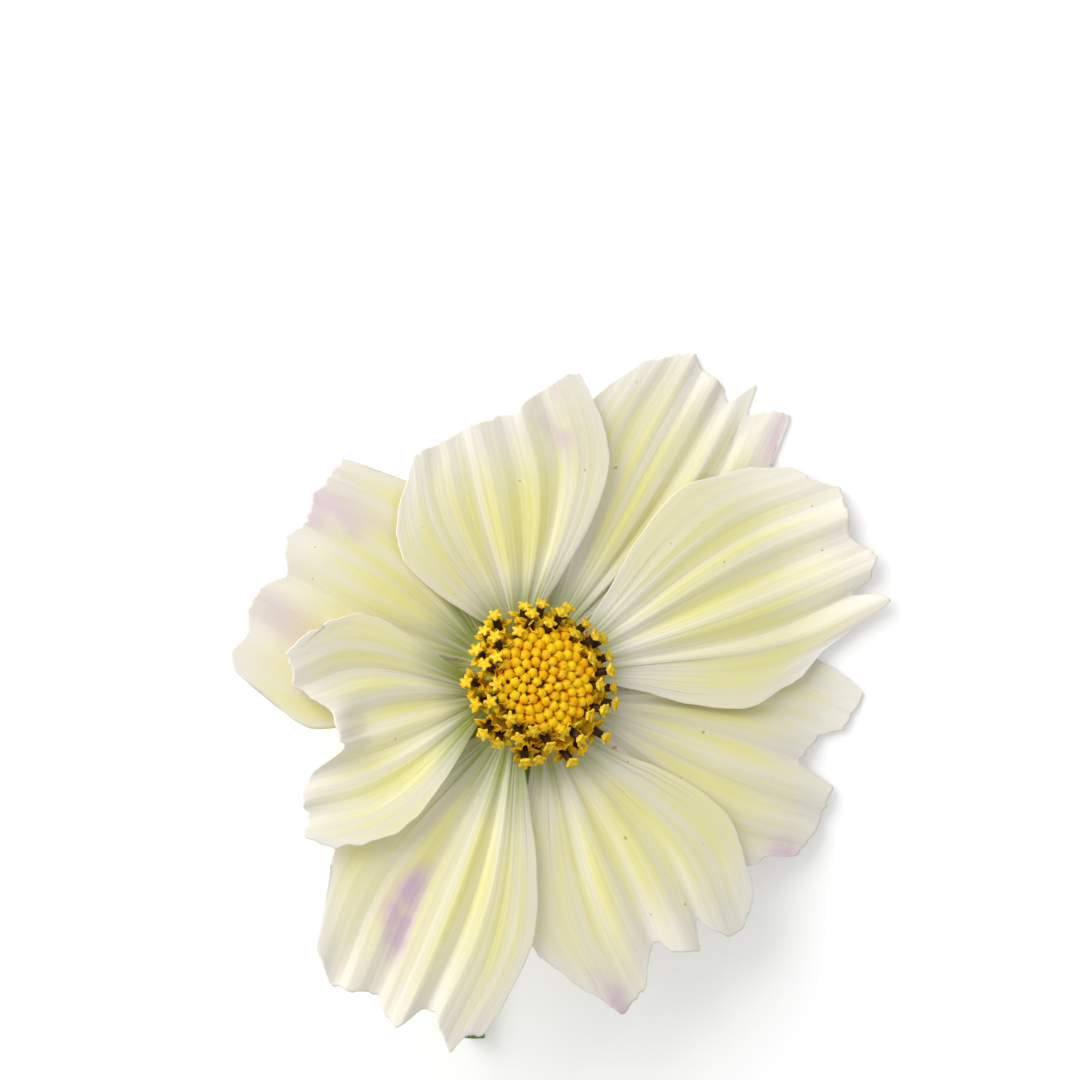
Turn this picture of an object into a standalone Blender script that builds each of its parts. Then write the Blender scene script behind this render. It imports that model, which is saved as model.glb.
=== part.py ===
"""Cosmos flower, as picked: one head with eight ray petals on a short cut stalk, lying face up on a surface.

The stalk lies along the surface and turns up into the head. The head leans over to +X, so that the petals on
that side rest their tips on the surface and the petals opposite stand clear of it. Metres, +Z up.
"""

import math

import bmesh
import bpy
from mathutils import Matrix, Vector

MM = 0.001

# The head: its axis leans by LEAN towards the plan direction LEAN_TO. HEAD is the centre of the ring where the
# petals are seated, with plan distances taken from the middle of the yellow disc as it is seen from above.
LEAN = math.radians(24.0)
LEAN_TO = math.radians(18.0)
HEAD = Vector((-1.3, -0.2, 12.3)) * MM

# The petals spread in the ring's plane, arched by ARCH over ARCH_SPAN. Where they would go below the surface that
# the flower lies on, they bend and lie along it, with SOFTNESS as the height over which they bend.
SEAT_RADIUS = 4.75 * MM
CLAW_HALF_WIDTH = 1.25 * MM
CLAW_LEVEL = -0.15 * MM
ARCH = 1.5 * MM
ARCH_SPAN = 31.0 * MM
PETAL_THICKNESS = 0.4 * MM
LAYER_STEP = 0.6 * MM
LYING_LEVEL = LAYER_STEP + PETAL_THICKNESS / 2
SOFTNESS = 0.8 * MM
PETAL_GRID = (7, 16)

# The blade is at its full width by FULL_WIDTH_AT of its length and narrows to RIM_WIDTH of it at the rim. It has
# its layer's height by LIFTED_AT. EARLY is the share of its widening that comes at once, and not in a soft S.
FULL_WIDTH_AT = 0.75
RIM_WIDTH = 0.94
LIFTED_AT = 0.12
EARLY = 0.45

# Each petal: the plan direction of its midline, the half widths of its blade on the clockwise and anticlockwise
# sides in millimetres, whether each side lies over (1) or under (-1) its neighbour, and its toothed rim as
# (place across the blade from -1 to 1, reach from the disc's middle in millimetres).
PETALS = {
    "petal_1": (
        103, 12.2, 10.6, (1, 1),
        [(-1, 27.5), (-0.95, 29.5), (-0.83, 29.6), (-0.46, 28.1), (-0.33, 26.9), (0, 26.9), (0.45, 25.8),
         (0.7, 25), (1, 20)],
    ),
    "petal_2": (
        61, 10.6, 10.6, (-1, -1),
        [(-1, 30.5), (-0.93, 36.2), (-0.73, 35.4), (-0.53, 34), (-0.47, 37.3), (-0.3, 34), (-0.2, 35.2),
         (0.05, 35.6), (0.22, 36.7), (0.4, 35.9), (0.68, 33), (0.85, 29.6), (1, 25)],
    ),
    "petal_3": (
        23, 10.7, 12.4, (1, 1),
        [(-1, 24.5), (-0.84, 27.8), (-0.65, 36.2), (-0.54, 35.3), (-0.44, 32.3), (-0.36, 35), (-0.18, 36.7),
         (0.08, 34.8), (0.25, 35.5), (0.53, 35.7), (0.66, 33.8), (0.86, 32), (1, 28)],
    ),
    "petal_4": (
        -19, 11.8, 11.4, (-1, -1),
        [(-1, 25.5), (-0.96, 26.8), (-0.85, 27.2), (-0.76, 30.4), (-0.47, 31.5), (-0.05, 31.8), (0.06, 27.4),
         (0.38, 28.8), (0.5, 31), (0.9, 31.6), (1, 29.5)],
    ),
    "petal_5": (
        -66, 11.8, 12.0, (-1, 1),
        [(-1, 24.5), (-0.79, 29.3), (-0.65, 31.3), (-0.54, 33.8), (-0.24, 32), (-0.04, 28.2), (0.04, 28.4),
         (0.1, 30.2), (0.33, 31.2), (0.4, 28), (0.6, 31), (0.75, 31.2), (0.94, 28.9), (1, 27)],
    ),
    "petal_6": (
        -114, 12.2, 9.9, (-1, 1),
        [(-1, 25), (-0.84, 32.4), (-0.57, 35.3), (-0.2, 34.2), (-0.05, 35.8), (0.1, 36.5), (0.24, 33.8),
         (0.4, 33.7), (0.72, 36.9), (0.78, 34.8), (0.97, 34.2), (1, 32.5)],
    ),
    "petal_7": (
        196, 12.0, 10.3, (1, 1),
        [(-1, 20), (-0.89, 22.8), (-0.57, 23.2), (-0.33, 20.6), (-0.1, 20.2), (0.07, 20.2), (0.2, 24),
         (0.36, 25.4), (0.6, 25.3), (0.8, 26.2), (1, 23.5)],
    ),
    "petal_8": (
        151, 11.5, 14.8, (-1, -1),
        [(-1, 24), (-0.95, 27.9), (-0.46, 28.7), (-0.28, 28), (-0.06, 29.2), (0.2, 27.1), (0.37, 28.8),
         (0.52, 28.8), (0.66, 27.8), (0.86, 28.1), (0.97, 26.6), (1, 23.5)],
    ),
}

# The green cup under the head, turned about the head's axis, with distances from the petals' ring.
CUP_PROFILE = [(0, 0.35), (4.3, 0.0), (4.35, -0.72), (5.1, -0.8), (5.15, -2.6), (4.7, -3.3), (3.0, -4.1),
               (1.7, -4.7), (1.35, -5.3), (0, -5.3)]
CUP_FOOT = -5.3 * MM
CUP_STEPS = 32
GAP = 0.3 * MM

# The bracts that sheathe the head: eight pale inner ones pressed to the petals' backs, and eight green outer ones.
BRACT_COUNT = 8
INNER_BRACT = {"seat": 5.5, "level": -1.55, "length": 8.6, "half_width": 2.05, "rise": 0.065, "droop": 0.0}
OUTER_BRACT = {"seat": 5.5, "level": -2.75, "length": 13.5, "half_width": 1.95, "rise": 0.10, "droop": 2.6}
BRACT_THICKNESS = 0.4 * MM
BRACT_FOOT_SHARE = 0.62
BRACT_TAPER = 2.2
BRACT_TIP_HALF_WIDTH = 0.12
BRACT_KEEL = 0.35
INNER_BRACT_GRID = (5, 4)
OUTER_BRACT_GRID = (7, 4)

# The disc: an outer whorl of open florets that lean out over the petals, a ring of younger ones, and the buds.
OUTER_FLORETS = 20
FLORET_FOOT = Vector((3.7, 0, 0.5)) * MM
FLORET_TIP = Vector((8.0, 0, 4.1)) * MM
FLORET_FOOT_RADIUS = 0.36 * MM
FLORET_TIP_RADIUS = 0.62 * MM
FLORET_SIDES = 7
YOUNG_RING_PROFILE = [(2.1, 0.65), (4.1, 4.5), (5.0, 5.2), (6.0, 4.7), (2.85, 0.65)]
DISC_STEPS = 24
BUD_PROFILE = [(0, 5.7), (1.9, 5.45), (3.2, 5.05), (3.75, 4.5), (1.75, 0.65), (0, 0.65)]

# The stalk: its radius, and the plan points of its elbow and its cut end, where it lies on the surface.
STALK_RADIUS = 1.1 * MM
STALK_CUT_END = Vector((-6.7, -36.4)) * MM
STALK_ELBOW = Vector((-6.3, -5.5)) * MM

# How far the stalk runs on in a straight line, before it bends, below the cup and to each side of the elbow.
BELOW_CUP = 4.2 * MM
BEFORE_ELBOW = 6.0 * MM
AFTER_ELBOW = 8.0 * MM

GREEN = (0.13, 0.33, 0.04)
YELLOW_GREEN = (0.45, 0.55, 0.10)
CREAM = (0.88, 0.87, 0.66)
YELLOW = (0.80, 0.45, 0.02)


def material(name, colour, roughness):
    """A plain Principled material."""
    made = bpy.data.materials.new(name)
    made.use_nodes = True
    shader = made.node_tree.nodes["Principled BSDF"]
    shader.inputs["Base Color"].default_value = (*colour, 1)
    shader.inputs["Roughness"].default_value = roughness
    return made


def place(name, data, parent, finish):
    """Puts mesh or curve data in the scene under a parent, with its material."""
    made = bpy.data.objects.new(name, data)
    data.materials.append(finish)
    made.parent = parent
    bpy.data.collections["cosmos_flower"].objects.link(made)
    return made


def smoothstep(t):
    """Rises from 0 to 1 as t does, level at both ends."""
    t = min(1.0, max(0.0, t))
    return t * t * (3 - 2 * t)


def widening(t):
    """Rises from 0 to 1 as t does, steeply at first and level at the end."""
    t = min(1.0, t)
    return (1 - EARLY) * smoothstep(t) + EARLY * math.sin(math.pi * t / 2)


def read_off(points, at):
    """The height at `at` of the broken line through (place, height) points."""
    for (x0, y0), (x1, y1) in zip(points, points[1:]):
        if at <= x1:
            return y0 + (y1 - y0) * (at - x0) / (x1 - x0)
    return points[-1][1]


def thin_blade(name, cells, surface, thickness, parent, finish):
    """A grid bent to surface(along 0..1, across -1..1), thickened evenly to both sides."""
    grid = bmesh.new()
    bmesh.ops.create_grid(grid, x_segments=cells[0], y_segments=cells[1], size=1.0)
    for vert in grid.verts:
        vert.co = surface((vert.co.x + 1) / 2, vert.co.y)
    mesh = bpy.data.meshes.new(name)
    grid.to_mesh(mesh)
    grid.free()
    blade = place(name, mesh, parent, finish)
    shell = blade.modifiers.new("thickness", "SOLIDIFY")
    shell.thickness = thickness
    shell.offset = 0
    mesh.shade_smooth()
    return blade


def turned(name, profile, steps, parent, finish):
    """A profile of (radius, height) in millimetres, turned about the parent's Z axis."""
    mesh = bpy.data.meshes.new(name)
    points = [(r * MM, 0, z * MM) for r, z in profile]
    closed = profile[0][0] > 0
    edges = [(i, i + 1) for i in range(len(points) - 1)]
    if closed:
        edges.append((len(points) - 1, 0))
    mesh.from_pydata(points, edges, [])
    made = place(name, mesh, parent, finish)
    screw = made.modifiers.new("turn", "SCREW")
    screw.steps = screw.render_steps = steps
    screw.use_merge_vertices = True
    screw.merge_threshold = 0.00001
    return made


def lean_matrix():
    """Carries the head's own frame, Z along its axis, to the part's frame."""
    lean = Matrix.Rotation(LEAN, 4, Vector((-math.sin(LEAN_TO), math.cos(LEAN_TO), 0)))
    return Matrix.Translation(HEAD) @ lean


def dish_height(x, y):
    """Height of the petals' common surface over a plan point: the ring's plane, arched, and laid on the surface."""
    dx, dy = x - HEAD.x, y - HEAD.y
    plane = HEAD.z - math.tan(LEAN) * (dx * math.cos(LEAN_TO) + dy * math.sin(LEAN_TO))
    t = (math.hypot(dx, dy) - SEAT_RADIUS) / ARCH_SPAN
    above = plane + CLAW_LEVEL + 4 * ARCH * t * (1 - t) - LYING_LEVEL
    return LYING_LEVEL + SOFTNESS * math.log(1 + math.exp(above / SOFTNESS))


def petal_surface(axis_deg, clockwise, anticlockwise, layers, rim):
    """The petal's midsurface. From above, its claw starts on the ring and its blade widens to the toothed rim."""
    turn = Matrix.Rotation(math.radians(axis_deg), 2)
    lean = lean_matrix()

    def surface(along, across):
        half_width = (clockwise if across < 0 else anticlockwise) * MM
        full = 1 - (1 - RIM_WIDTH) * smoothstep((along - FULL_WIDTH_AT) / (1 - FULL_WIDTH_AT))
        claw = CLAW_HALF_WIDTH / half_width
        spread = claw + (full - claw) * widening(along / FULL_WIDTH_AT)
        reach = read_off(rim, across) * MM
        blade = turn @ Vector((SEAT_RADIUS + (reach - SEAT_RADIUS) * along, across * half_width * spread))
        start = turn @ Vector((SEAT_RADIUS, across * CLAW_HALF_WIDTH))
        seat = lean @ Vector((*start, 0))
        x, y = blade + (1 - along) ** 3 * (seat.xy - start)
        if layers[0] == layers[1]:
            layer = layers[0]
        else:
            layer = layers[1] * (2 * smoothstep(across + 0.5) - 1)
        lift = LAYER_STEP * layer * smoothstep(along / LIFTED_AT)
        return Vector((x, y, dish_height(x, y) + lift))

    return surface


def bract_surface(azimuth, seat, level, length, half_width, rise, droop):
    """A bract's midsurface in the head's frame: broadest near its foot, drawn out to a point, and keeled."""
    turn = Matrix.Rotation(azimuth, 3, "Z")

    def surface(along, across):
        swell = BRACT_FOOT_SHARE + (1 - BRACT_FOOT_SHARE) * math.sin(math.pi * min(1, 2 * along))
        width = half_width * swell * (1 - along**BRACT_TAPER) + BRACT_TIP_HALF_WIDTH
        out = seat + length * along
        keel = -BRACT_KEEL * (1 - across * across) * (1 - along)
        height = level + rise * length * along - droop * along**3 + keel
        return turn @ Vector((out, across * width, height)) * MM

    return surface


def stalk(parent, finish):
    """The cut stalk: down out of the cup along the head's axis, then round an elbow and along the surface."""
    curve = bpy.data.curves.new("stalk", "CURVE")
    curve.dimensions = "3D"
    curve.bevel_depth = STALK_RADIUS
    curve.bevel_resolution = 2
    curve.resolution_u = 8
    curve.use_fill_caps = True
    lean = lean_matrix()
    axis = lean.to_3x3() @ Vector((0, 0, 1))
    top = lean @ Vector((0, 0, CUP_FOOT - GAP))
    elbow = Vector((*STALK_ELBOW, STALK_RADIUS))
    end = Vector((*STALK_CUT_END, STALK_RADIUS))
    along = (end - elbow).normalized()
    route = [
        (top, top, top - axis * BELOW_CUP),
        (elbow, elbow - along * BEFORE_ELBOW, elbow + along * AFTER_ELBOW),
        (end, end - along * AFTER_ELBOW, end),
    ]
    spline = curve.splines.new("BEZIER")
    spline.bezier_points.add(len(route) - 1)
    for knot, (at, before, after) in zip(spline.bezier_points, route):
        knot.co = at
        knot.handle_left = before
        knot.handle_right = after
    return place("stalk", curve, parent, finish)


def disc_floret(name, azimuth, parent, finish):
    """One open floret of the outer whorl: a narrow tube that widens to its mouth."""
    axis = FLORET_TIP - FLORET_FOOT
    bm = bmesh.new()
    bmesh.ops.create_cone(bm, cap_ends=True, segments=FLORET_SIDES, radius1=FLORET_FOOT_RADIUS, radius2=FLORET_TIP_RADIUS,
                          depth=axis.length)
    mesh = bpy.data.meshes.new(name)
    bm.to_mesh(mesh)
    bm.free()
    floret = place(name, mesh, parent, finish)
    tilt = axis.to_track_quat("Z", "X").to_matrix().to_4x4()
    middle = Matrix.Translation((FLORET_FOOT + FLORET_TIP) / 2)
    floret.matrix_local = Matrix.Rotation(azimuth, 4, "Z") @ middle @ tilt
    return floret


def settle(root):
    """Moves the whole flower so that its box stands on z = 0 with its middle over the origin."""
    bpy.context.view_layer.update()
    graph = bpy.context.evaluated_depsgraph_get()
    low, high = Vector((1e9,) * 3), Vector((-1e9,) * 3)
    for made in bpy.data.collections["cosmos_flower"].objects:
        if made.type == "EMPTY":
            continue
        shape = made.evaluated_get(graph)
        mesh = shape.to_mesh()
        for vert in mesh.vertices:
            point = shape.matrix_world @ vert.co
            low = Vector(map(min, low, point))
            high = Vector(map(max, high, point))
        shape.to_mesh_clear()
    root.location = (-(low.x + high.x) / 2, -(low.y + high.y) / 2, -low.z)


def main():
    for old in list(bpy.data.objects):
        bpy.data.objects.remove(old)
    flower = bpy.data.collections.new("cosmos_flower")
    bpy.context.scene.collection.children.link(flower)

    green = material("stalk_green", GREEN, 0.5)
    pale = material("bract_yellow_green", YELLOW_GREEN, 0.5)
    cream = material("petal_cream", CREAM, 0.6)
    yellow = material("floret_yellow", YELLOW, 0.6)

    root = bpy.data.objects.new("whole_flower", None)
    head = bpy.data.objects.new("head", None)
    flower.objects.link(root)
    flower.objects.link(head)
    head.parent = root
    head.matrix_local = lean_matrix()

    stalk(root, green)
    turned("receptacle", CUP_PROFILE, CUP_STEPS, head, pale)
    for name, shape in PETALS.items():
        thin_blade(name, PETAL_GRID, petal_surface(*shape), PETAL_THICKNESS, root, cream)
    for number in range(BRACT_COUNT):
        azimuth = math.tau * number / BRACT_COUNT
        thin_blade(f"inner_bract_{number + 1}", INNER_BRACT_GRID, bract_surface(azimuth, **INNER_BRACT),
                   BRACT_THICKNESS, head, pale)
        between = azimuth + math.pi / BRACT_COUNT
        thin_blade(f"outer_bract_{number + 1}", OUTER_BRACT_GRID, bract_surface(between, **OUTER_BRACT),
                   BRACT_THICKNESS, head, green)
    for number in range(OUTER_FLORETS):
        disc_floret(f"disc_floret_{number + 1:02d}", math.tau * number / OUTER_FLORETS, head, yellow)
    turned("young_floret_ring", YOUNG_RING_PROFILE, DISC_STEPS, head, yellow)
    turned("floret_buds", BUD_PROFILE, DISC_STEPS, head, yellow)
    settle(root)


main()
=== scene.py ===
"""Cosmos flower lying on a white surface: its finished pieces, built round the frame. Metres, +Z up."""

import math

import bmesh
import bpy
import numpy as np
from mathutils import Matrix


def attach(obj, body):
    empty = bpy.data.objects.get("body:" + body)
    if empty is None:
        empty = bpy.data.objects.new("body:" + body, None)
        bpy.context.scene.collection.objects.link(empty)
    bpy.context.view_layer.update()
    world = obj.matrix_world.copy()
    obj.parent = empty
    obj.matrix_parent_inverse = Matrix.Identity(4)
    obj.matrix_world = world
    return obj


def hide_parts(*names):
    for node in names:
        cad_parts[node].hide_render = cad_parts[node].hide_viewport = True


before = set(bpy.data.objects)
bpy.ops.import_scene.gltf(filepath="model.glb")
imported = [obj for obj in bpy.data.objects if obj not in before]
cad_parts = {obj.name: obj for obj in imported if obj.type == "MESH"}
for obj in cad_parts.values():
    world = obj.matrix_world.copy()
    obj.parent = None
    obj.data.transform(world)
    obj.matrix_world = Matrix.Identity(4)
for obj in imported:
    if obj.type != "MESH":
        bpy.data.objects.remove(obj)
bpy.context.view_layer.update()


# ---- The head's seat
# Every part of the head sits round one axis, which runs up out of the stalk and through the green cup. The cup
# is turned on it, so its middle gives it. HEAD is the middle of the petals' ring, just below the cup's top.
MM = 0.001
LEAN = math.radians(24.0)
LEAN_TO = math.radians(18.0)
CUP_TOP_TO_RING = 0.35 * MM
SEEN_MIDDLE = np.array([1.3, 0.2]) * MM


def node_points(name):
    """The corners of a node of the frame, one row each."""
    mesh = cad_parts[name].data
    flat = np.empty(len(mesh.vertices) * 3)
    mesh.vertices.foreach_get("co", flat)
    return flat.reshape(-1, 3)


def head_turn():
    """Columns are the head's own X, Y and Z: the part's axes, turned by LEAN towards LEAN_TO."""
    k = np.array([-math.sin(LEAN_TO), math.cos(LEAN_TO), 0.0])
    cross = np.array([[0, -k[2], k[1]], [k[2], 0, -k[0]], [-k[1], k[0], 0]])
    return np.eye(3) + math.sin(LEAN) * cross + (1 - math.cos(LEAN)) * cross @ cross


TURN = head_turn()
cup = node_points("receptacle")
axis_heights = cup @ TURN[:, 2]
across_x = cup @ TURN[:, 0]
across_y = cup @ TURN[:, 1]
HEAD = TURN[:, 0] * (across_x.min() + across_x.max()) / 2
HEAD = HEAD + TURN[:, 1] * (across_y.min() + across_y.max()) / 2
HEAD = HEAD + TURN[:, 2] * (axis_heights.max() - CUP_TOP_TO_RING)
MIDDLE = HEAD[:2] + SEEN_MIDDLE


def from_head(points):
    """Carries points from the head's own frame, in millimetres, to the part's."""
    return points * MM @ TURN.T + HEAD


# ---- Petals
# Eight ray florets of cream tissue a fifth of a millimetre thick, folded lengthwise from claw to toothed rim.
# Each grows from a narrow claw on the ring, and its sides lie over or under its neighbours.
SEAT = 4.75 * MM
CLAW = 1.25 * MM
CLAW_LEVEL = -0.15 * MM
ARCH = 1.5 * MM
ARCH_SPAN = 31.0 * MM
LAYER_STEP = 0.6 * MM
LYING_LEVEL = 0.8 * MM
SOFTNESS = 0.8 * MM
LOWEST = 0.12 * MM
GIVE = 0.12 * MM
FULL_WIDTH_AT = 0.75
EARLY = 0.6
RIM_WIDTH = 0.94
LIFTED_AT = 0.12
PETAL_THICKNESS = 0.2 * MM
ACROSS = 181
ALONG = 121
rng = np.random.default_rng(8)

# The blade is at its full width by FULL_WIDTH_AT of its length and narrows to RIM_WIDTH of it at the rim. EARLY
# is the share of its widening that comes at once. It has its layer's height by LIFTED_AT, and where it would go
# below LOWEST it bends, over about GIVE, to lie there.

# Each petal: the plan direction of its midline in degrees; the half widths of its blade in millimetres; if each
# side lies over (1) or under (-1); its rim as (place across, reach from the middle); its folds as (place across
# at the rim, depth in millimetres, width); its blushes as (place across, place along, size, strength); how far
# its sides cup and how far the middle of its rim curls up, in millimetres.
PETALS = {
    "petal_1": {
        "axis": 103, "half": (12.2, 10.6), "layer": (1, 1),
        "rim": [(-1, 27.5), (-0.95, 29.5), (-0.83, 29.6), (-0.46, 28.1), (-0.33, 26.9), (0, 26.9),
                (0.45, 25.8), (0.7, 25), (1, 20)],
        "folds": [(-0.55, 0.75, 0.10), (-0.24, 0.7, 0.09), (0.22, 0.35, 0.1), (0.55, 0.3, 0.1)],
        "blush": [(-0.62, 0.82, 0.16, 0.45), (-0.9, 0.9, 0.12, 0.35)], "cup": 0.2, "curl": 0.0,
    },
    "petal_2": {
        "axis": 61, "half": (10.6, 10.6), "layer": (-1, -1),
        "rim": [(-1, 30.5), (-0.93, 36.2), (-0.73, 35.4), (-0.53, 34), (-0.47, 37.3), (-0.3, 34),
                (-0.2, 35.2), (0.05, 35.6), (0.22, 36.7), (0.4, 35.9), (0.68, 33), (0.85, 29.6), (1, 25)],
        "folds": [(-0.53, 0.8, 0.07), (-0.22, 0.7, 0.07), (0.1, 0.35, 0.08), (0.4, 0.5, 0.09)],
        "blush": [(-0.9, 0.92, 0.14, 0.5)], "cup": 0.0, "curl": 0.0,
    },
    "petal_3": {
        "axis": 23, "half": (10.7, 12.4), "layer": (1, 1),
        "rim": [(-1, 24.5), (-0.84, 27.8), (-0.65, 36.2), (-0.54, 35.3), (-0.44, 32.3), (-0.36, 35),
                (-0.18, 36.7), (0.08, 34.8), (0.25, 35.5), (0.53, 35.7), (0.66, 33.8), (0.86, 32), (1, 28)],
        "folds": [(-0.45, 0.7, 0.08), (0.1, 0.65, 0.1), (0.5, 0.45, 0.1), (-0.75, 0.3, 0.08)],
        "blush": [(0.1, 0.97, 0.12, 0.15)], "cup": 0.0, "curl": 0.0,
    },
    "petal_4": {
        "axis": -19, "half": (11.8, 11.4), "layer": (-1, -1),
        "rim": [(-1, 25.5), (-0.96, 26.8), (-0.85, 27.2), (-0.76, 30.4), (-0.47, 31.5), (-0.05, 31.8),
                (0.06, 27.4), (0.38, 28.8), (0.5, 31), (0.9, 31.6), (1, 29.5)],
        "folds": [(0.06, 0.8, 0.08), (0.42, 0.6, 0.07), (-0.35, 0.45, 0.08), (-0.7, 0.5, 0.08)],
        "blush": [(-0.7, 0.96, 0.16, 0.7), (-0.3, 0.99, 0.1, 0.3)], "cup": 0.0, "curl": 0.0,
    },
    "petal_5": {
        "axis": -66, "half": (11.8, 12.0), "layer": (-1, 1),
        "rim": [(-1, 24.5), (-0.79, 29.3), (-0.65, 31.3), (-0.54, 33.8), (-0.24, 32), (-0.04, 28.2),
                (0.04, 28.4), (0.1, 30.2), (0.33, 31.2), (0.4, 28), (0.6, 31), (0.75, 31.2), (0.94, 28.9),
                (1, 27)],
        "folds": [(0.0, 0.8, 0.08), (0.4, 0.7, 0.07), (-0.4, 0.4, 0.08), (0.75, 0.3, 0.07)],
        "blush": [(-0.55, 0.97, 0.15, 0.7), (0.55, 0.97, 0.1, 0.3)], "cup": 0.0, "curl": 0.0,
    },
    "petal_6": {
        "axis": -114, "half": (12.2, 9.9), "layer": (-1, 1),
        "rim": [(-1, 25), (-0.84, 32.4), (-0.57, 35.3), (-0.2, 34.2), (-0.05, 35.8), (0.1, 36.5),
                (0.24, 33.8), (0.4, 33.7), (0.72, 36.9), (0.78, 34.8), (0.97, 34.2), (1, 32.5)],
        "folds": [(0.3, 0.8, 0.08), (-0.2, 0.6, 0.08), (0.0, 0.3, 0.06), (-0.55, 0.4, 0.08)],
        "blush": [(-0.3, 0.68, 0.15, 0.95), (-0.22, 0.8, 0.09, 0.6), (0.8, 0.98, 0.1, 0.3)],
        "cup": 0.0, "curl": 0.0,
    },
    "petal_7": {
        "axis": 196, "half": (12.0, 10.3), "layer": (1, 1),
        "rim": [(-1, 20), (-0.89, 22.8), (-0.57, 23.2), (-0.33, 20.6), (-0.1, 20.2), (0.07, 20.2), (0.2, 24),
                (0.36, 25.4), (0.6, 25.3), (0.8, 26.2), (1, 23.5)],
        "folds": [(-0.15, 0.9, 0.12), (0.22, 0.5, 0.1), (-0.55, 0.45, 0.1), (0.6, 0.35, 0.1)],
        "blush": [], "cup": 1.4, "curl": 2.2,
    },
    "petal_8": {
        "axis": 151, "half": (11.5, 14.8), "layer": (-1, -1),
        "rim": [(-1, 24), (-0.95, 27.9), (-0.46, 28.7), (-0.28, 28), (-0.06, 29.2), (0.2, 27.1), (0.37, 28.8),
                (0.52, 28.8), (0.66, 27.8), (0.86, 28.1), (0.97, 26.6), (1, 23.5)],
        "folds": [(0.2, 0.7, 0.08), (-0.28, 0.6, 0.08), (-0.62, 0.35, 0.08), (0.6, 0.5, 0.1)],
        "blush": [(-0.45, 0.9, 0.25, 0.5), (0.45, 0.85, 0.2, 0.4)], "cup": 0.0, "curl": 0.0,
    },
}


def smoothstep(t):
    """Rises from 0 to 1 as t does, level at both ends."""
    t = np.clip(t, 0.0, 1.0)
    return t * t * (3 - 2 * t)


def widening(t):
    """Rises from 0 to 1 as t does, steeply at first and level at the end."""
    t = np.clip(t, 0.0, 1.0)
    return (1 - EARLY) * smoothstep(t) + EARLY * np.sin(math.pi * t / 2)


def bump(at, middle, width):
    """A bell of height 1 over `middle`."""
    return np.exp(-(((at - middle) / width) ** 2))


def wander(count, knots, size):
    """A smooth seeded curve of `count` values: a few random knots joined by cosine steps."""
    places = np.linspace(0, knots - 1, count)
    low = np.minimum(places.astype(int), knots - 2)
    t = smoothstep(places - low)
    values = rng.uniform(-size, size, knots)
    return values[low] * (1 - t) + values[low + 1] * t


def dish_height(x, y):
    """Height over the plan: the ring's leaning plane, arched, and bent softly to lie on the surface below."""
    dx = x - HEAD[0]
    dy = y - HEAD[1]
    plane = HEAD[2] - math.tan(LEAN) * (dx * math.cos(LEAN_TO) + dy * math.sin(LEAN_TO))
    t = (np.hypot(dx, dy) - SEAT) / ARCH_SPAN
    above = plane + CLAW_LEVEL + 4 * ARCH * t * (1 - t) - LYING_LEVEL
    return LYING_LEVEL + SOFTNESS * np.logaddexp(0, above / SOFTNESS)


def rim_reach(points, v):
    """Reach of the rim at each place across: the line through the teeth, rounded, with a fine ripple."""
    places, reach = np.array(points).T
    line = np.interp(v, places, reach)
    kernel = np.array([1, 3, 5, 3, 1]) / 13
    line = np.convolve(np.pad(line, 2, mode="edge"), kernel, mode="valid")
    return (line + wander(len(v), 48, 0.16) + wander(len(v), 18, 0.14)) * MM


def petal_points(shape):
    """A grid of points, claw to rim and side to side. From above, the blade widens from the claw and ends at
    the rim's reach; its foot eases onto the leaning ring as (1 - u)^3. Its height is the dish's, raised or
    lowered by its layer and its relief, and bent softly to stay over LOWEST."""
    u, v = np.meshgrid(np.linspace(0, 1, ALONG), np.linspace(-1, 1, ACROSS), indexing="ij")
    half = np.where(v < 0, shape["half"][0], shape["half"][1]) * MM
    full = 1 - (1 - RIM_WIDTH) * smoothstep((u - FULL_WIDTH_AT) / (1 - FULL_WIDTH_AT))
    claw = CLAW / half
    spread = claw + (full - claw) * widening(u / FULL_WIDTH_AT)
    reach = rim_reach(shape["rim"], v[0])[None, :]
    side_ripple = wander(ALONG, 16, 0.2)[:, None] * MM * np.abs(v) ** 6 * smoothstep(u / 0.4)
    out = SEAT + (reach - SEAT) * u
    aside = v * (half * spread + side_ripple)
    turn = math.radians(shape["axis"])
    blade_x = out * math.cos(turn) - aside * math.sin(turn)
    blade_y = out * math.sin(turn) + aside * math.cos(turn)
    start_x = SEAT * math.cos(turn) - v * CLAW * math.sin(turn)
    start_y = SEAT * math.sin(turn) + v * CLAW * math.cos(turn)
    seat = np.stack([start_x, start_y, np.zeros_like(u)], axis=-1) @ TURN.T + HEAD
    ease = (1 - u) ** 3
    x = MIDDLE[0] + blade_x + ease * (seat[..., 0] - MIDDLE[0] - start_x)
    y = MIDDLE[1] + blade_y + ease * (seat[..., 1] - MIDDLE[1] - start_y)
    low_side, high_side = shape["layer"]
    if low_side == high_side:
        layer = low_side * np.ones_like(v)
    else:
        layer = high_side * (2 * smoothstep(v + 0.5) - 1)
    lift = LAYER_STEP * layer * smoothstep(u / LIFTED_AT)
    z = dish_height(x, y) + lift + petal_relief(shape, u, v) * MM
    z = LOWEST + GIVE * np.logaddexp(0, (z - LOWEST) / GIVE)
    return np.stack([x, y, z], axis=-1), u, v


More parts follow.
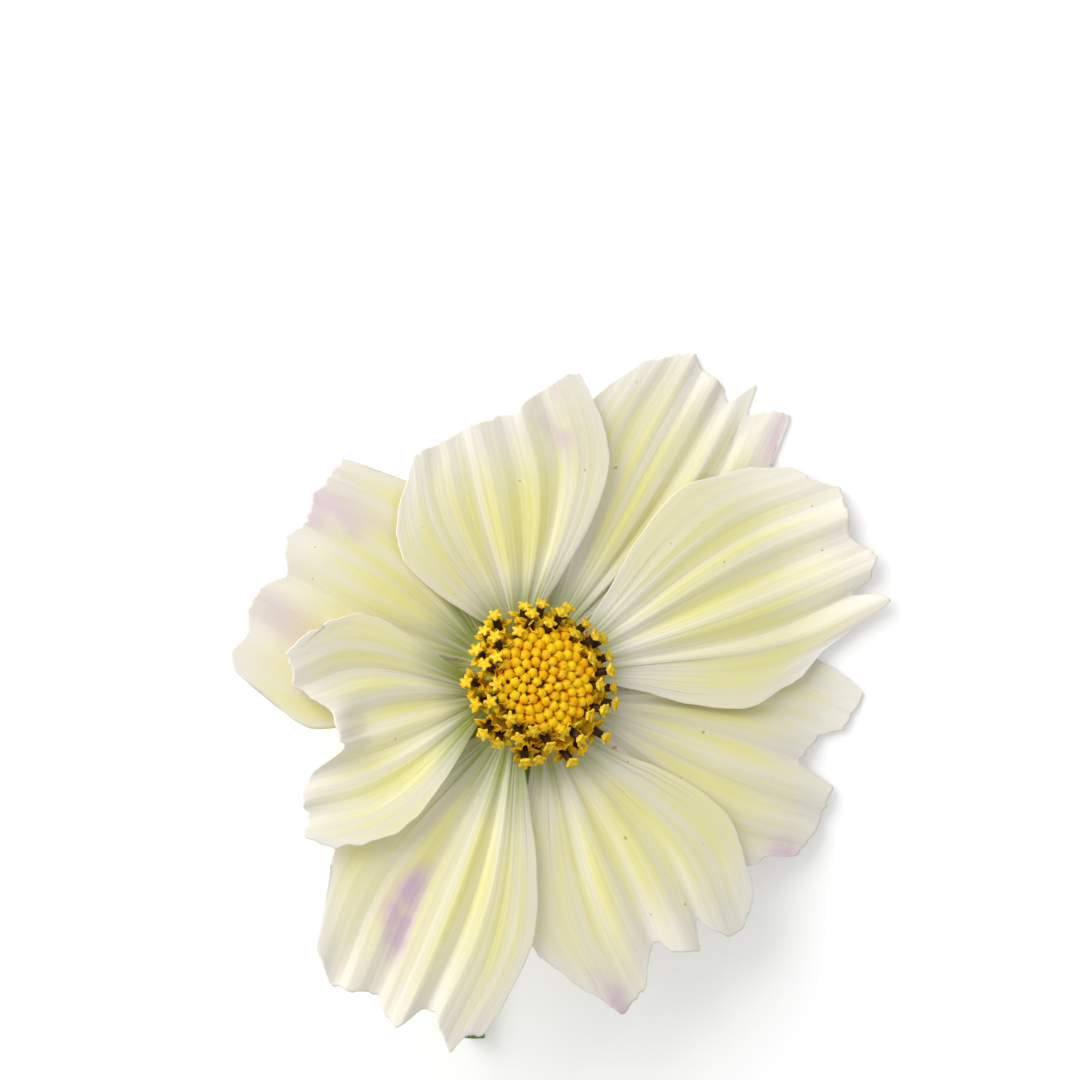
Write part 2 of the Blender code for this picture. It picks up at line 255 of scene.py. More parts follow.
def petal_relief(shape, u, v):
    """Height in millimetres: folds sunk from the notches to the claw, ridges between them, veins and waves."""
    grow = smoothstep(u / 0.35)
    edge = 1 - v**4
    relief = np.zeros_like(u)
    for place, depth, width in shape["folds"]:
        drift = place * (0.86 + 0.14 * u)
        sunk = bump(v, drift, 1.3 * width) - 0.5 * bump(v, drift + 0.2, 0.15)
        relief -= 0.62 * depth * sunk * grow * edge
        relief += 0.2 * depth * bump(v, drift - 0.2, 0.14) * grow * edge
    phase = wander(ACROSS, 9, 1.2)[None, :]
    relief += 0.022 * np.cos(v * 52 + phase) * smoothstep(u / 0.15) * edge
    relief += 0.008 * np.cos(v * 121 + 2 * phase) * grow * edge
    wave = wander(ACROSS, 12, 0.5)[None, :] * smoothstep((u - 0.72) / 0.28) ** 2
    wave = wave + wander(ACROSS, 6, 0.35)[None, :] * bump(u, 0.6, 0.3)
    relief += wave * (1 - v**2)
    relief += shape["cup"] * v**2 * grow
    relief += shape["curl"] * bump(v, -0.12, 0.2) * smoothstep((u - 0.78) / 0.22) ** 1.5
    return relief


class Wire:
    """A value on its way through a material. + and * on it add Math nodes."""

    def __init__(self, tree, source):
        self.tree = tree
        self.source = source

    def node(self, kind, settings, inputs, output=0):
        """Adds a node of a type: its settings first, then values or wires for its inputs."""
        made = self.tree.nodes.new(kind)
        for name, value in settings.items():
            setattr(made, name, value)
        for place, value in inputs.items():
            if isinstance(value, Wire):
                self.tree.links.new(value.source, made.inputs[place])
            else:
                made.inputs[place].default_value = value
        return Wire(self.tree, made.outputs[output])

    def math(self, operation, first, second):
        """One step of arithmetic."""
        return self.node("ShaderNodeMath", {"operation": operation}, {0: first, 1: second})

    def __add__(self, other):
        return self.math("ADD", self, other)

    def __mul__(self, other):
        return self.math("MULTIPLY", self, other)

    __radd__ = __add__
    __rmul__ = __mul__

    def blend(self, low, high):
        """The colour low where this is 0, and high where it is 1."""
        return self.node("ShaderNodeMix", {"data_type": "RGBA"}, {0: self, 6: low, 7: high}, 2)

    def above(self, low, high):
        """0 below `low`, 1 over `high`, and a soft step between them."""
        limits = {0: self, 1: low, 2: high, 3: 0.0, 4: 1.0}
        return self.node("ShaderNodeMapRange", {"interpolation_type": "SMOOTHSTEP"}, limits)

    def attribute(self, name):
        """A number stored on the mesh's points."""
        return self.node("ShaderNodeAttribute", {"attribute_name": name}, {}, 2)

    def here(self):
        """The place on the piece, in metres."""
        return self.node("ShaderNodeTexCoord", {}, {}, "Object")

    def blade(self):
        """The place on the piece's own UV map: across it, and along it from 0 to 1."""
        return self.node("ShaderNodeUVMap", {"uv_map": "blade"}, {})

    def camera_ray(self):
        """1 where the camera looks straight at the surface, and 0 in its light on other things."""
        return self.node("ShaderNodeLightPath", {}, {}, "Is Camera Ray")

    def noise(self, place, scale, detail=3.0):
        """Soft random patches, `scale` of them to a unit of the place."""
        return self.node("ShaderNodeTexNoise", {}, {"Vector": place, "Scale": scale, "Detail": detail})

    def stretched(self, place, scale):
        """A place scaled by a different number along each axis."""
        return self.node("ShaderNodeVectorMath", {"operation": "MULTIPLY"}, {0: place, 1: scale})


def start_finish(name, roughness, subsurface=0.0, specular=0.35):
    """A Principled material with its even values set, and a wire to begin from."""
    made = bpy.data.materials.new(name)
    made.use_nodes = True
    shader = made.node_tree.nodes["Principled BSDF"]
    shader.inputs["Roughness"].default_value = roughness
    shader.inputs["Specular IOR Level"].default_value = specular
    if subsurface:
        shader.inputs["Subsurface Weight"].default_value = subsurface
        shader.inputs["Subsurface Radius"].default_value = (1.0, 0.9, 0.5)
        shader.inputs["Subsurface Scale"].default_value = 0.6 * MM
    return made, shader, Wire(made.node_tree, None)


def wire_up(made, shader, colour, height=None, strength=0.3, distance=0.00005):
    """Ends a material: its colour, and a bump from a height if there is one."""
    made.node_tree.links.new(colour.source, shader.inputs["Base Color"])
    if height is not None:
        inputs = {"Strength": strength, "Distance": distance, "Height": height}
        bumped = colour.node("ShaderNodeBump", {}, inputs)
        made.node_tree.links.new(bumped.source, shader.inputs["Normal"])
    return made


CREAM = (0.885, 0.838, 0.755, 1)
LEMON = (0.885, 0.83, 0.33, 1)
SILVER = (0.68, 0.645, 0.57, 1)
# The next colour is painted shade: the grey of the shadows in the petals' fine folds.
FOLD_SHADOW_GREY = (0.42, 0.36, 0.36, 1)
THROAT = (0.36, 0.45, 0.12, 1)
LILAC = (0.70, 0.53, 0.64, 1)
SPECK = (0.42, 0.24, 0.08, 1)


def petal_finish():
    """Cream tissue: lemon streaks in its middle band, silvery veins, dark lines of painted fold shadow, a green
    throat, blushes and specks.
    """
    made, shader, wire = start_finish("petal tissue", 0.62, subsurface=0.25, specular=0.3)
    uv = wire.blade()
    place = wire.here()
    streaks = wire.noise(wire.stretched(uv, (15.0, 1.3, 1.0)), 1.0, 4.0)
    fine = wire.noise(wire.stretched(uv, (110.0, 2.0, 1.0)), 1.0, 3.0)
    clouds = wire.noise(place, 170.0, 2.0)
    lemon = wire.attribute("lemon") * (0.36 + 0.64 * streaks.above(0.34, 0.66))
    colour = lemon.blend(CREAM, LEMON)
    colour = (wire.attribute("silver") * fine.above(0.4, 0.64) * 0.6).blend(colour, SILVER)
    colour = (fine.above(0.5, 0.72) * 0.12).blend(colour, SILVER)
    # Painted shade: thin dark grey lines in the inner half stand for the shadows in the petal's fine folds.
    lines = wire.noise(wire.stretched(uv, (60.0, 0.8, 1.0)), 1.0, 1.0).above(0.62, 0.72)
    colour = (wire.attribute("silver") * lines * 0.7).blend(colour, FOLD_SHADOW_GREY)
    colour = (wire.attribute("throat") * (0.5 + 0.6 * streaks.above(0.35, 0.6))).blend(colour, THROAT)
    lilac = wire.attribute("blush") * (0.35 + 0.9 * clouds.above(0.38, 0.62))
    lilac = lilac + streaks.above(0.5, 0.7) * wire.attribute("rimside") * 0.3
    colour = lilac.above(0.0, 1.0).blend(colour, LILAC)
    specks = wire.noise(place, 900.0, 1.0).above(0.77, 0.8) * 0.6
    colour = specks.blend(colour, SPECK)
    return wire_up(made, shader, colour, fine, 0.35)


def new_piece(name, points, faces, finish, numbers=None, uv=None):
    """A smooth mesh piece on the root body, with numbers on its points and a UV for each point."""
    mesh = bpy.data.meshes.new(name)
    mesh.from_pydata(points.reshape(-1, 3).tolist(), [], faces)
    for key, values in (numbers or {}).items():
        layer = mesh.attributes.new(key, "FLOAT", "POINT")
        layer.data.foreach_set("value", np.ascontiguousarray(values, dtype=np.float32).ravel())
    if uv is not None:
        corners = np.empty(len(mesh.loops), dtype=np.int32)
        mesh.loops.foreach_get("vertex_index", corners)
        mesh.uv_layers.new(name="blade").data.foreach_set("uv", uv.reshape(-1, 2)[corners].ravel())
    mesh.materials.append(finish)
    mesh.shade_smooth()
    piece = bpy.data.objects.new(name, mesh)
    bpy.context.scene.collection.objects.link(piece)
    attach(piece, "root")
    return piece


def grid_faces(rows, columns):
    """Quads of an open grid of points."""
    index = np.arange(rows * columns).reshape(rows, columns)
    quads = np.stack([index[:-1, :-1], index[1:, :-1], index[1:, 1:], index[:-1, 1:]], axis=-1)
    return quads.reshape(-1, 4).tolist()


def thicken(piece, thickness):
    """Gives an open sheet its thickness, half to each side."""
    shell = piece.modifiers.new("thickness", "SOLIDIFY")
    shell.thickness = thickness
    shell.offset = 0


petal_tissue = petal_finish()
petal_faces = grid_faces(ALONG, ACROSS)

# The throat's green runs further up the petals that point away from this plan direction.
LEAST_GREEN = math.radians(10)

for name, shape in PETALS.items():
    points, u, v = petal_points(shape)
    greener = 0.5 - 0.5 * math.cos(math.radians(shape["axis"]) - LEAST_GREEN)
    blush = sum((s * bump(v, a, w) * bump(u, b, w) for a, b, w, s in shape["blush"]), np.zeros_like(u))
    numbers = {
        "lemon": smoothstep((u - 0.08) / 0.34) * (1 - smoothstep((u - 0.58) / 0.5)) * (1 - 0.35 * v**4),
        # The silver share also bounds where the petals' painted fold shadows go.
        "silver": (1 - smoothstep((u - 0.1) / 0.5)) * (0.55 + 0.45 * np.abs(v)),
        "throat": (1 - smoothstep((u - 0.1) / (0.12 + 0.2 * greener))) * (0.7 + 0.3 * greener),
        "blush": blush,
        "rimside": smoothstep((u - 0.75) / 0.25),
    }
    uv = np.stack([v * 0.5 + 0.5 + shape["axis"], u], axis=-1)
    petal = new_piece("ray_" + name, points, petal_faces, petal_tissue, numbers, uv)
    thicken(petal, PETAL_THICKNESS)
    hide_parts(name)


# ---- Bracts
# Two whorls of eight under the head: pale inner ones pressed to the petals' backs, and narrow green outer
# ones that spread and turn down. Each is a keeled leaf with lengthwise veins, grown from the side of the cup.
BRACT_ALONG = 48
BRACT_ACROSS = 25
BRACT_THICKNESS = 0.22 * MM
BRACTS = 8
FOOT_SHARE = 0.62
TAPER = 2.2
TIP_HALF_WIDTH = 0.1
KEEL = 0.4
INNER = {"seat": 5.5, "level": -1.55, "length": 8.6, "half": 2.05, "rise": 0.065, "droop": 0.0}
OUTER = {"seat": 5.5, "level": -2.75, "length": 13.5, "half": 1.95, "rise": 0.10, "droop": 2.6}


def bract_points(azimuth, shape, sway):
    """A leaf: it swells from FOOT_SHARE of its width to all of it, falls to a point as 1 - u^TAPER, is keeled
    and ribbed, rises evenly and droops as u^3."""
    u, v = np.meshgrid(np.linspace(0, 1, BRACT_ALONG), np.linspace(-1, 1, BRACT_ACROSS), indexing="ij")
    swell = FOOT_SHARE + (1 - FOOT_SHARE) * np.sin(math.pi * np.minimum(1, u / 0.5))
    width = shape["half"] * swell * (1 - u**TAPER) + TIP_HALF_WIDTH
    out = shape["seat"] + shape["length"] * u
    keel = -KEEL * (1 - np.abs(v) ** 1.2) * (1 - u)
    ribs = 0.05 * np.cos(v * 11) * (1 - u) + 0.02 * np.cos(v * 24)
    height = shape["level"] + shape["rise"] * shape["length"] * u - shape["droop"] * u**3 + keel + ribs
    aside = v * width + sway * u**2
    c, s = math.cos(azimuth), math.sin(azimuth)
    local = np.stack([out * c - aside * s, out * s + aside * c, height], axis=-1)
    return from_head(local), u, v


def bract_finish(name, body, edge, vein, roughness):
    """Leaf tissue: paler parallel veins, a paler margin towards `edge`, and uneven colour."""
    made, shader, wire = start_finish(name, roughness, subsurface=0.12)
    uv = wire.blade()
    place = wire.here()
    lines = wire.noise(wire.stretched(uv, (34.0, 0.8, 1.0)), 1.0, 2.0)
    patches = wire.noise(place, 420.0, 3.0)
    colour = (patches.above(0.3, 0.7) * 0.5).blend(body, vein)
    colour = (lines.above(0.5, 0.62) * 0.55).blend(colour, vein)
    colour = wire.attribute("margin").blend(colour, edge)
    return wire_up(made, shader, colour, lines, 0.4)


outer_leaf = bract_finish("outer bract leaf", (0.045, 0.13, 0.022, 1), (0.11, 0.22, 0.05, 1),
                          (0.10, 0.23, 0.045, 1), 0.45)
inner_leaf = bract_finish("inner bract leaf", (0.33, 0.45, 0.07, 1), (0.78, 0.66, 0.22, 1),
                          (0.5, 0.56, 0.14, 1), 0.5)
bract_faces = grid_faces(BRACT_ALONG, BRACT_ACROSS)

# The outer whorl stands half a step round from the inner one. Only its leaves sway aside, and their tips are
# paled half as much.
WHORLS = (
    ("inner_bract", INNER, inner_leaf, 0.0),
    ("outer_bract", OUTER, outer_leaf, 0.5),
)
for kind, shape, leaf, offset in WHORLS:
    for number in range(BRACTS):
        sway = rng.uniform(-0.5, 0.5) * offset * 2
        points, u, v = bract_points(math.tau * (number + offset) / BRACTS, shape, sway)
        sides = smoothstep((np.abs(v) - 0.55) / 0.45)
        tip = smoothstep((u - 0.55) / 0.45) * (1 - offset)
        margin = 0.8 * np.maximum(sides, tip)
        uv = np.stack([v * 0.5 + 0.5 + number, u], axis=-1)
        bract = new_piece(f"{kind}_leaf_{number + 1}", points, bract_faces, leaf, {"margin": margin}, uv)
        thicken(bract, BRACT_THICKNESS)
        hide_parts(f"{kind}_{number + 1}")


# ---- Receptacle
# The swollen green cup that holds petals, bracts and florets. It is one piece of soft tissue, grown on the
# stalk, lobed below each inner bract and lightly pitted.
CUP_OUTLINE = [(0, 0.35), (4.2, 0.05), (4.35, -0.2), (4.4, -0.75), (5.05, -0.85), (5.2, -1.6), (5.1, -2.6),
               (4.6, -3.35), (3.2, -4.1), (1.9, -4.7), (1.4, -5.2), (1.15, -5.5)]
CUP_RINGS = 59
AROUND = 128


def close_faces(rows, around):
    """Quads round a body of rings, whose first and last rows are closed by one point each."""
    ring = np.arange(rows * around).reshape(rows, around)
    after = np.roll(ring, -1, axis=1)
    faces = np.stack([ring[:-1], ring[1:], after[1:], after[:-1]], axis=-1).reshape(-1, 4).tolist()
    first, last = rows * around, rows * around + 1
    faces += np.stack([np.full(around, first), ring[0], after[0]], axis=-1).tolist()
    faces += np.stack([np.full(around, last), after[-1], ring[-1]], axis=-1).tolist()
    return faces


def closed_rings(rings):
    """Adds the two closing points, the middles of the first and last rings."""
    return np.concatenate([rings.reshape(-1, 3), rings[:1].mean(axis=1), rings[-1:].mean(axis=1)])


def face_outwards(piece):
    """Turns a closed piece's faces to point out of it."""
    work = bmesh.new()
    work.from_mesh(piece.data)
    bmesh.ops.recalc_face_normals(work, faces=work.faces)
    work.to_mesh(piece.data)
    work.free()


def cup_finish():
    """Bright green tissue, mottled in two tones."""
    made, shader, wire = start_finish("receptacle tissue", 0.45, subsurface=0.15)
    place = wire.here()
    patches = wire.noise(place, 700.0, 4.0)
    colour = patches.above(0.35, 0.65).blend((0.20, 0.40, 0.05, 1), (0.42, 0.60, 0.12, 1))
    return wire_up(made, shader, colour, wire.noise(place, 2200.0, 2.0), 0.4)


radius, level = np.array(CUP_OUTLINE).T
steps = np.linspace(0, len(radius) - 1, CUP_RINGS + 1)
radius = np.interp(steps, np.arange(len(radius)), radius)[1:, None]
level = np.interp(steps, np.arange(len(level)), level)[1:, None]
around = np.linspace(0, math.tau, AROUND, endpoint=False)[None, :]
lobes = 1 + 0.035 * np.cos(8 * around + 0.4) * smoothstep((-level - 1.0) / 2) + 0.012 * np.cos(24 * around)
cup_rings = np.stack([radius * lobes * np.cos(around), radius * lobes * np.sin(around),
                      level + 0 * around], axis=-1)
cup_faces = close_faces(CUP_RINGS, AROUND)
receptacle = new_piece("green_cup", from_head(closed_rings(cup_rings)), cup_faces, cup_finish())
face_outwards(receptacle)
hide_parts("receptacle")


# ---- Stalk
# One cut stalk of green tissue, faintly ribbed. It comes down out of the cup, turns at a short elbow and lies
# along the surface to its cut end, where the pale pith shows.
STALK_RADIUS = 1.1 * MM
CUT_END = np.array([-6.7, -36.4]) * MM
ELBOW = np.array([-6.3, -5.5]) * MM
CUP_FOOT = -5.3
STALK_AROUND = 48
STALK_STEPS = 60
RIBS = 7
RIB_DEPTH = 0.03

# How far the stalk runs on in a straight line, before it bends, below the cup and to each side of the elbow.
BELOW_CUP = 4.2 * MM
BEFORE_ELBOW = 6 * MM
AFTER_ELBOW = 8 * MM

# The rings of the cut face: each one's share of the radius, how far it is sunk in millimetres, how pale it is.
CUT_SHARE = [0.96, 0.8, 0.55, 0.3, 0.08]
CUT_DEPTH = [0.0, 0.12, 0.05, 0.1, 0.14]
CUT_PALE = [0.4, 1, 1, 1, 1]


def curve_points(knots, steps):
    """Points on a chain of cubic Bezier curves: each knot is (place, handle before, handle after)."""
    t = np.linspace(0, 1, steps)[:, None]
    parts = []
    for (start, _, leave), (end, arrive, _) in zip(knots, knots[1:]):
        curve = (1 - t) ** 3 * start + 3 * t * (1 - t) ** 2 * leave
        curve = curve + 3 * t * t * (1 - t) * arrive + t**3 * end
        parts.append(curve[:-1])
    return np.concatenate(parts + [curve[-1:]])


def rings_along(path, radii, around):
    """Rings square to the path, with a radius for each step and turn. Each starts square to the X axis."""
    along = np.gradient(path, axis=0)
    along /= np.linalg.norm(along, axis=1, keepdims=True)
    side = np.cross(along, np.array([1.0, 0.0, 0.0]))
    side /= np.linalg.norm(side, axis=1, keepdims=True)
    other = np.cross(along, side)
    round_way = np.cos(around)[..., None] * side[:, None] + np.sin(around)[..., None] * other[:, None]
    return path[:, None] + radii[..., None] * round_way


def stalk_finish():
    """Green, with lengthwise lines; the cut end shows pale pith inside a green rim."""
    made, shader, wire = start_finish("stalk tissue", 0.42)
    uv = wire.blade()
    place = wire.here()
    lines = wire.noise(wire.stretched(uv, (30.0, 4.0, 1.0)), 1.0, 3.0)
    colour = lines.above(0.38, 0.62).blend((0.07, 0.18, 0.03, 1), (0.19, 0.36, 0.08, 1))
    grains = wire.noise(place, 2500.0, 3.0).above(0.3, 0.7)
    pith = grains.blend((0.42, 0.50, 0.16, 1), (0.72, 0.74, 0.40, 1))
    colour = wire.attribute("cut").blend(colour, pith)
    return wire_up(made, shader, colour, lines, 0.5)


elbow = np.array([*(MIDDLE + ELBOW), STALK_RADIUS])
cut_end = np.array([*(MIDDLE + CUT_END), STALK_RADIUS])
run = (cut_end - elbow) / np.linalg.norm(cut_end - elbow)
top = from_head(np.array([0, 0, CUP_FOOT]))
route = [
    (top, top, top - TURN[:, 2] * BELOW_CUP),
    (elbow, elbow - run * BEFORE_ELBOW, elbow + run * AFTER_ELBOW),
    (cut_end, cut_end - run * AFTER_ELBOW, cut_end),
]
path = curve_points(route, STALK_STEPS)
rows = len(path)
all_rows = rows + len(CUT_SHARE)
turns = np.linspace(0, math.tau, STALK_AROUND, endpoint=False)[None, :] + np.zeros((rows, 1))
ribbed = 1 - RIB_DEPTH + RIB_DEPTH * np.cos(RIBS * turns)
body_rings = rings_along(path, STALK_RADIUS * ribbed, turns)
share = np.array(CUT_SHARE)[:, None, None]
sunk = -np.array(CUT_DEPTH)[:, None, None] * MM * run
cut_rings = path[-1] + (body_rings[-1:] - path[-1]) * share + sunk
stalk_rings = np.concatenate([body_rings, cut_rings])
pale = np.concatenate([np.zeros(rows), CUT_PALE])[:, None] + np.zeros((1, STALK_AROUND))
pale = np.append(pale.ravel(), [0.0, 1.0])
uv_across = turns[0] / math.tau + np.zeros((all_rows, 1))
uv_along = np.linspace(0, 1, all_rows)[:, None] + np.zeros((1, STALK_AROUND))
stalk_uv = np.stack([uv_across, uv_along], axis=-1).reshape(-1, 2)
stalk_uv = np.concatenate([stalk_uv, [[0.5, 0.0], [0.5, 1.0]]])
stalk_faces = close_faces(all_rows, STALK_AROUND)
stalk_points = closed_rings(stalk_rings)
stalk = new_piece("cut_stalk", stalk_points, stalk_faces, stalk_finish(), {"cut": pale}, stalk_uv)
face_outwards(stalk)
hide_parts("stalk")


# ---- Disc florets
# Open florets: a yellow tube that flares into five pointed lobes, with a dark tube of anthers standing out of
# it and a crown of golden pollen on top. An outer whorl leans out over the petals, and a younger ring stands
# within. Each outline is (radius, height) in millimetres.
FLORETS = 20
YOUNG_FLORETS = 22
LOBES = 5
FLORET_AROUND = 20
FLORET_HEIGHT = 5.0
COROLLA = [(0.0, 0.0), (0.3, 0.0), (0.38, 0.8), (0.5, 2.3), (0.72, 3.1), (1.1, 3.6), (1.62, 3.85),
           (1.56, 3.97), (1.0, 3.72), (0.62, 3.22), (0.42, 2.6), (0.0, 2.5)]
ANTHERS = [(0.0, 2.4), (0.34, 2.6), (0.40, 3.1), (0.43, 3.9), (0.41, 4.6), (0.3, 4.75), (0.0, 4.75)]
CROWN = [(0.0, 4.5), (0.3, 4.6), (0.44, 4.8), (0.82, 5.08), (0.74, 5.2), (0.36, 5.1), (0.2, 5.22),
         (0.0, 5.25)]


def lobed_rings(outline, cut, sharp, turn=0.0):
    """A turned outline. Its reach past `cut` is scaled by |cos(LOBES angle / 2)|^sharp, which makes lobes."""
    radius, level = np.array(outline[1:-1]).T
    angle = np.linspace(0, math.tau, FLORET_AROUND, endpoint=False)[None, :]
    lobe = np.abs(np.cos(LOBES * angle / 2 + turn)) ** sharp
    past = np.maximum(radius[:, None] - cut, 0)
    reach = radius[:, None] - past * (1 - lobe)
    return np.stack([reach * np.cos(angle), reach * np.sin(angle), level[:, None] + 0 * angle], axis=-1)


def floret_template():
    """The three bodies of one open floret, upright on the origin, as (points, faces, material number)."""
    made = []
    bodies = ((COROLLA, 0.52, 1.7), (ANTHERS, 0.37, 0.6), (CROWN, 0.3, 1.4))
    for number, (outline, cut, sharp) in enumerate(bodies):
        rings = lobed_rings(outline, cut, sharp, 0.5 * number)
        made.append((closed_rings(rings), close_faces(len(outline) - 2, FLORET_AROUND), number))
    return made


def stand(points, foot, tip, stretch, spin):
    """Moves a template to a place: spun about its height, stretched, tilted from its foot towards its tip."""
    up = (tip - foot) / np.linalg.norm(tip - foot)
    side = np.cross(up, np.array([0.3, 0.2, 1.0]) if abs(up[2]) < 0.9 else np.array([1.0, 0.0, 0.0]))
    side /= np.linalg.norm(side)
    other = np.cross(up, side)
    c, s = math.cos(spin), math.sin(spin)
    x = points[:, 0] * c - points[:, 1] * s
    y = points[:, 0] * s + points[:, 1] * c
    return foot + x[:, None] * side + y[:, None] * other + points[:, 2:] * stretch * up


def mottled(name, low, high, scale, roughness, height=0.4):
    """Two tones of one colour in fine patches, with a fine grain."""
    made, shader, wire = start_finish(name, roughness, subsurface=0.1, specular=0.15)
    place = wire.here()
    colour = wire.noise(place, scale, 3.0).above(0.35, 0.65).blend(low, high)
    return wire_up(made, shader, colour, wire.noise(place, scale * 4, 2.0), height)


petal_yellow = mottled("floret yellow", (0.90, 0.44, 0.0, 1), (0.98, 0.68, 0.006, 1), 900.0, 0.5)
anther_brown = mottled("anther brown", (0.02, 0.008, 0.003, 1), (0.07, 0.03, 0.01, 1), 1500.0, 0.45)
pollen_gold = mottled("pollen gold", (0.92, 0.50, 0.0, 1), (0.98, 0.76, 0.05, 1), 2600.0, 0.75, 0.8)


def join_bodies(name, bodies, node_names):
    """One piece from many small closed bodies, each with the number of its material."""
    points, faces, numbers = [], [], []
    count = 0
    for body_points, body_faces, number in bodies:
        points.append(body_points)
        faces += [[corner + count for corner in face] for face in body_faces]
        numbers += [number] * len(body_faces)
        count += len(body_points)
    piece = new_piece(name, from_head(np.concatenate(points)), faces, petal_yellow)
    piece.data.materials.append(anther_brown)
    piece.data.materials.append(pollen_gold)
    piece.data.polygons.foreach_set("material_index", np.array(numbers, dtype=np.int32))
    face_outwards(piece)
    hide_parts(*node_names)
    return piece


template = floret_template()


def open_floret(foot, tip, spin):
    """The template stood between two places of the head."""
    stretch = np.linalg.norm(tip - foot) / FLORET_HEIGHT
    return [(stand(points, foot, tip, stretch, spin), faces, number) for points, faces, number in template]


def round_axis(radius, level, azimuth):
    """A place in the head's own frame, in millimetres, from its distance out, height and direction."""
    return np.array([radius * math.cos(azimuth), radius * math.sin(azimuth), level])


for number in range(FLORETS):
    azimuth = math.tau * number / FLORETS + rng.uniform(-0.06, 0.06)
    foot = round_axis(3.7, 0.5, azimuth)
    reach = 8.1 + rng.uniform(-0.6, 0.7)
    level = 4.2 + rng.uniform(-0.7, 0.5)
    tip = round_axis(reach, level, azimuth + rng.uniform(-0.08, 0.08))
    join_bodies(f"open_floret_{number + 1:02d}", open_floret(foot, tip, rng.uniform(0, 6)),
                [f"disc_floret_{number + 1:02d}"])

young = []
for number in range(YOUNG_FLORETS):
    azimuth = math.tau * (number + 0.5) / YOUNG_FLORETS + rng.uniform(-0.08, 0.08)
    reach = 5.7 if number % 2 else 6.8
    foot = round_axis(2.6, 0.8, azimuth)
    tip = round_axis(reach + rng.uniform(-0.3, 0.3), 5.35 + rng.uniform(-0.3, 0.3), azimuth)
    young += open_floret(foot, tip, rng.uniform(0, 6))
join_bodies("young_florets", young, ["young_floret_ring"])


# ---- Buds
# The middle of the disc: closed orange-yellow buds packed in spirals, ribbed by their five folded lobes and a
# little smaller towards the middle, with thin golden chaff threads standing between them.
GOLDEN = math.radians(137.508)
BUD = [(0.0, -3.6), (0.3, -3.5), (0.46, -0.8), (0.6, -0.1), (0.59, 0.2), (0.44, 0.5), (0.18, 0.68),
       (0.0, 0.7)]
BUD_COUNT = 84
BUD_SPACING = 0.545
DOME_TOP = 5.2
THREADS = 22
NO_LOBES = 9.0
THREAD = [(0.0, 0.0), (0.09, 0.0), (0.1, 1.0), (0.07, 2.0), (0.02, 2.4), (0.0, 2.42)]

buds = []
for number in range(BUD_COUNT):
    reach = BUD_SPACING * math.sqrt(number + 0.5)
    azimuth = number * GOLDEN
    level = DOME_TOP - 0.03 * reach**2
    foot = round_axis(reach, level, azimuth)
    tip = round_axis(reach * 1.12, level + 1.0, azimuth)
    size = 0.88 + 0.14 * smoothstep(reach / 4.0)
    rings = closed_rings(lobed_rings(BUD, 0.42, 0.5)) * size
    stood = stand(rings, foot, tip, 1.0, rng.uniform(0, 6))
    buds.append((stood, close_faces(len(BUD) - 2, FLORET_AROUND), 0))
join_bodies("closed_buds", buds, ["floret_buds"])

threads = []
for number in range(THREADS):
    reach = rng.uniform(0.3, 5.6)
    azimuth = rng.uniform(0, math.tau)
    foot = round_axis(reach, 3.6, azimuth)
    tip = round_axis(reach * 1.15 + rng.uniform(-0.3, 0.3), 6.4, azimuth + rng.uniform(-0.1, 0.1))
    rings = closed_rings(lobed_rings(THREAD, NO_LOBES, 1.0))
    stood = stand(rings, foot, tip, 1.05, 0.0)
    threads.append((stood, close_faces(len(THREAD) - 2, FLORET_AROUND), 0))
chaff = join_bodies("chaff_threads", threads, [])
chaff.data.materials[0] = mottled("chaff", (0.72, 0.42, 0.02, 1), (0.88, 0.66, 0.1, 1), 800.0, 0.5)


# ---- Surface, light and camera
# The flower lies on plain white paper under one soft lamp from the upper left and an even sky. The camera
# looks straight down on it through a long lens.
SURFACE_REACH = 1.5
LAMP_SIDE = 0.7
LAMP_WATTS = 5.6
LAMP_PLACE = (-0.47, 0.42, 0.52)
LENS = 200.0
SENSOR = 36.0
VIEW_WIDTH = 108 * MM
AIM_SHIFT = np.array([0.0, 14.3]) * MM


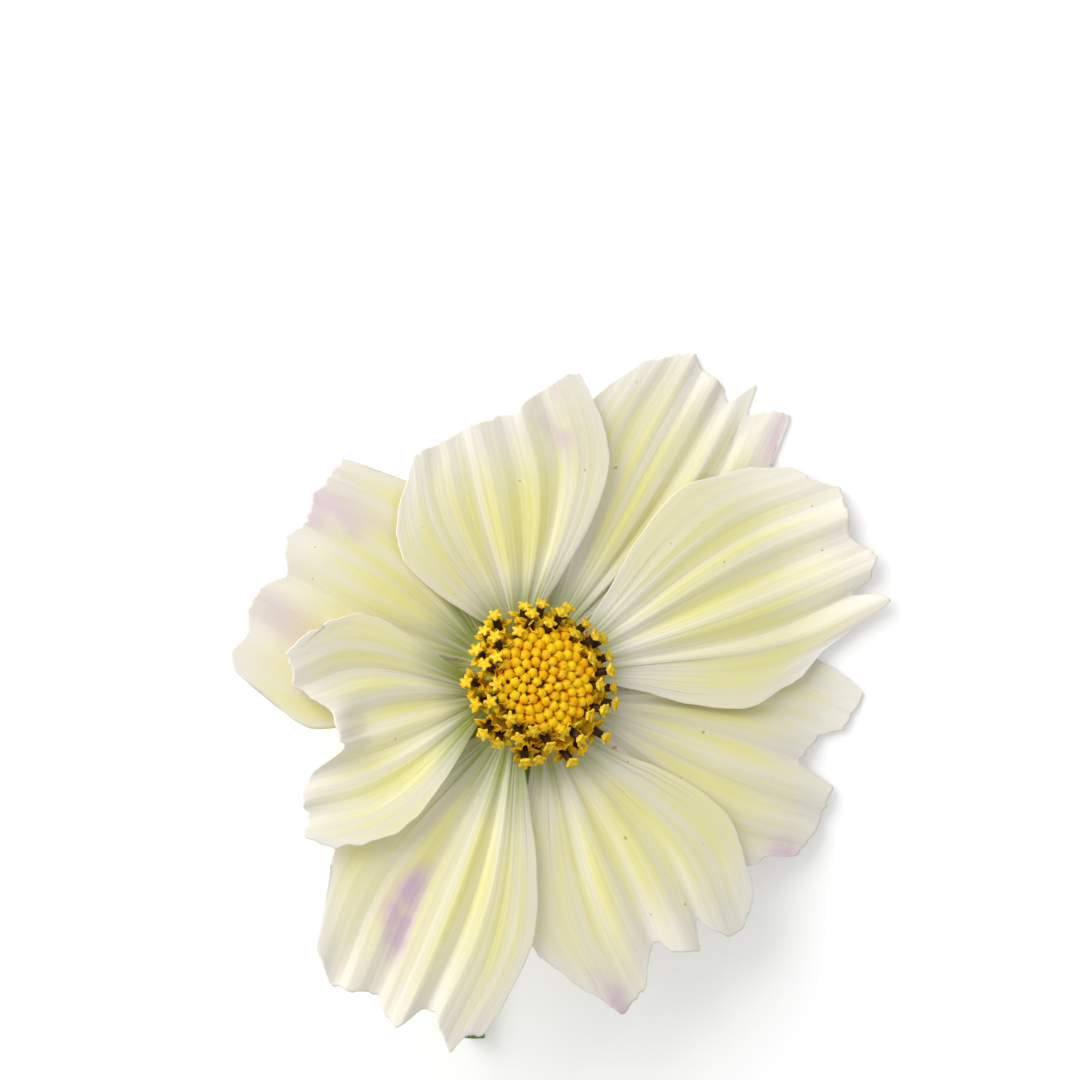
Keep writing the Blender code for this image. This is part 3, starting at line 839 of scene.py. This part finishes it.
def lay_surface():
    """A wide level sheet. Its own brightness is added only where the camera sees it, so that shadows stay."""
    reach = SURFACE_REACH
    corners = [(-reach, -reach, 0), (reach, -reach, 0), (reach, reach, 0), (-reach, reach, 0)]
    mesh = bpy.data.meshes.new("surface")
    mesh.from_pydata(corners, [], [(0, 1, 2, 3)])
    floor = bpy.data.objects.new("surface", mesh)
    bpy.context.scene.collection.objects.link(floor)
    made = bpy.data.materials.new("white paper")
    made.use_nodes = True
    shader = made.node_tree.nodes["Principled BSDF"]
    shader.inputs["Base Color"].default_value = (0.8, 0.8, 0.8, 1)
    shader.inputs["Roughness"].default_value = 0.9
    shader.inputs["Emission Color"].default_value = (1, 1, 1, 1)
    wire = Wire(made.node_tree, None)
    seen = wire.camera_ray()
    away = wire.node("ShaderNodeVectorMath", {"operation": "LENGTH"}, {0: wire.here()}, "Value")
    glow = 0.28 + away.above(0.12, 0.7) * 0.45
    made.node_tree.links.new((seen * glow).source, shader.inputs["Emission Strength"])
    mesh.materials.append(made)


def light_scene():
    """One wide lamp that points at the flower from the upper left, and an even white sky."""
    lamp = bpy.data.lights.new("window", "AREA")
    lamp.size = LAMP_SIDE
    lamp.energy = LAMP_WATTS
    holder = bpy.data.objects.new("window", lamp)
    holder.location = LAMP_PLACE
    direction = -np.array(holder.location)
    holder.rotation_euler = (math.atan2(math.hypot(direction[0], direction[1]), -direction[2]), 0,
                             math.atan2(direction[1], direction[0]) - math.pi / 2)
    bpy.context.scene.collection.objects.link(holder)
    world = bpy.data.worlds.new("sky")
    world.use_nodes = True
    sky = Wire(world.node_tree, None)
    seen = sky.camera_ray()
    background = world.node_tree.nodes["Background"]
    background.inputs["Color"].default_value = (1, 1, 1, 1)
    world.node_tree.links.new((seen * 0.4 + 0.6).source, background.inputs["Strength"])
    bpy.context.scene.world = world


def set_camera():
    """Looks straight down on a square that is VIEW_WIDTH wide at the height of the petals' ring."""
    camera = bpy.data.cameras.new("camera")
    camera.lens = LENS
    camera.sensor_width = SENSOR
    holder = bpy.data.objects.new("camera", camera)
    aim = MIDDLE + AIM_SHIFT
    holder.location = (aim[0], aim[1], HEAD[2] + VIEW_WIDTH * LENS / SENSOR)
    bpy.context.scene.collection.objects.link(holder)
    bpy.context.scene.camera = holder


lay_surface()
light_scene()
set_camera()
bpy.context.scene.view_settings.view_transform = "Standard"
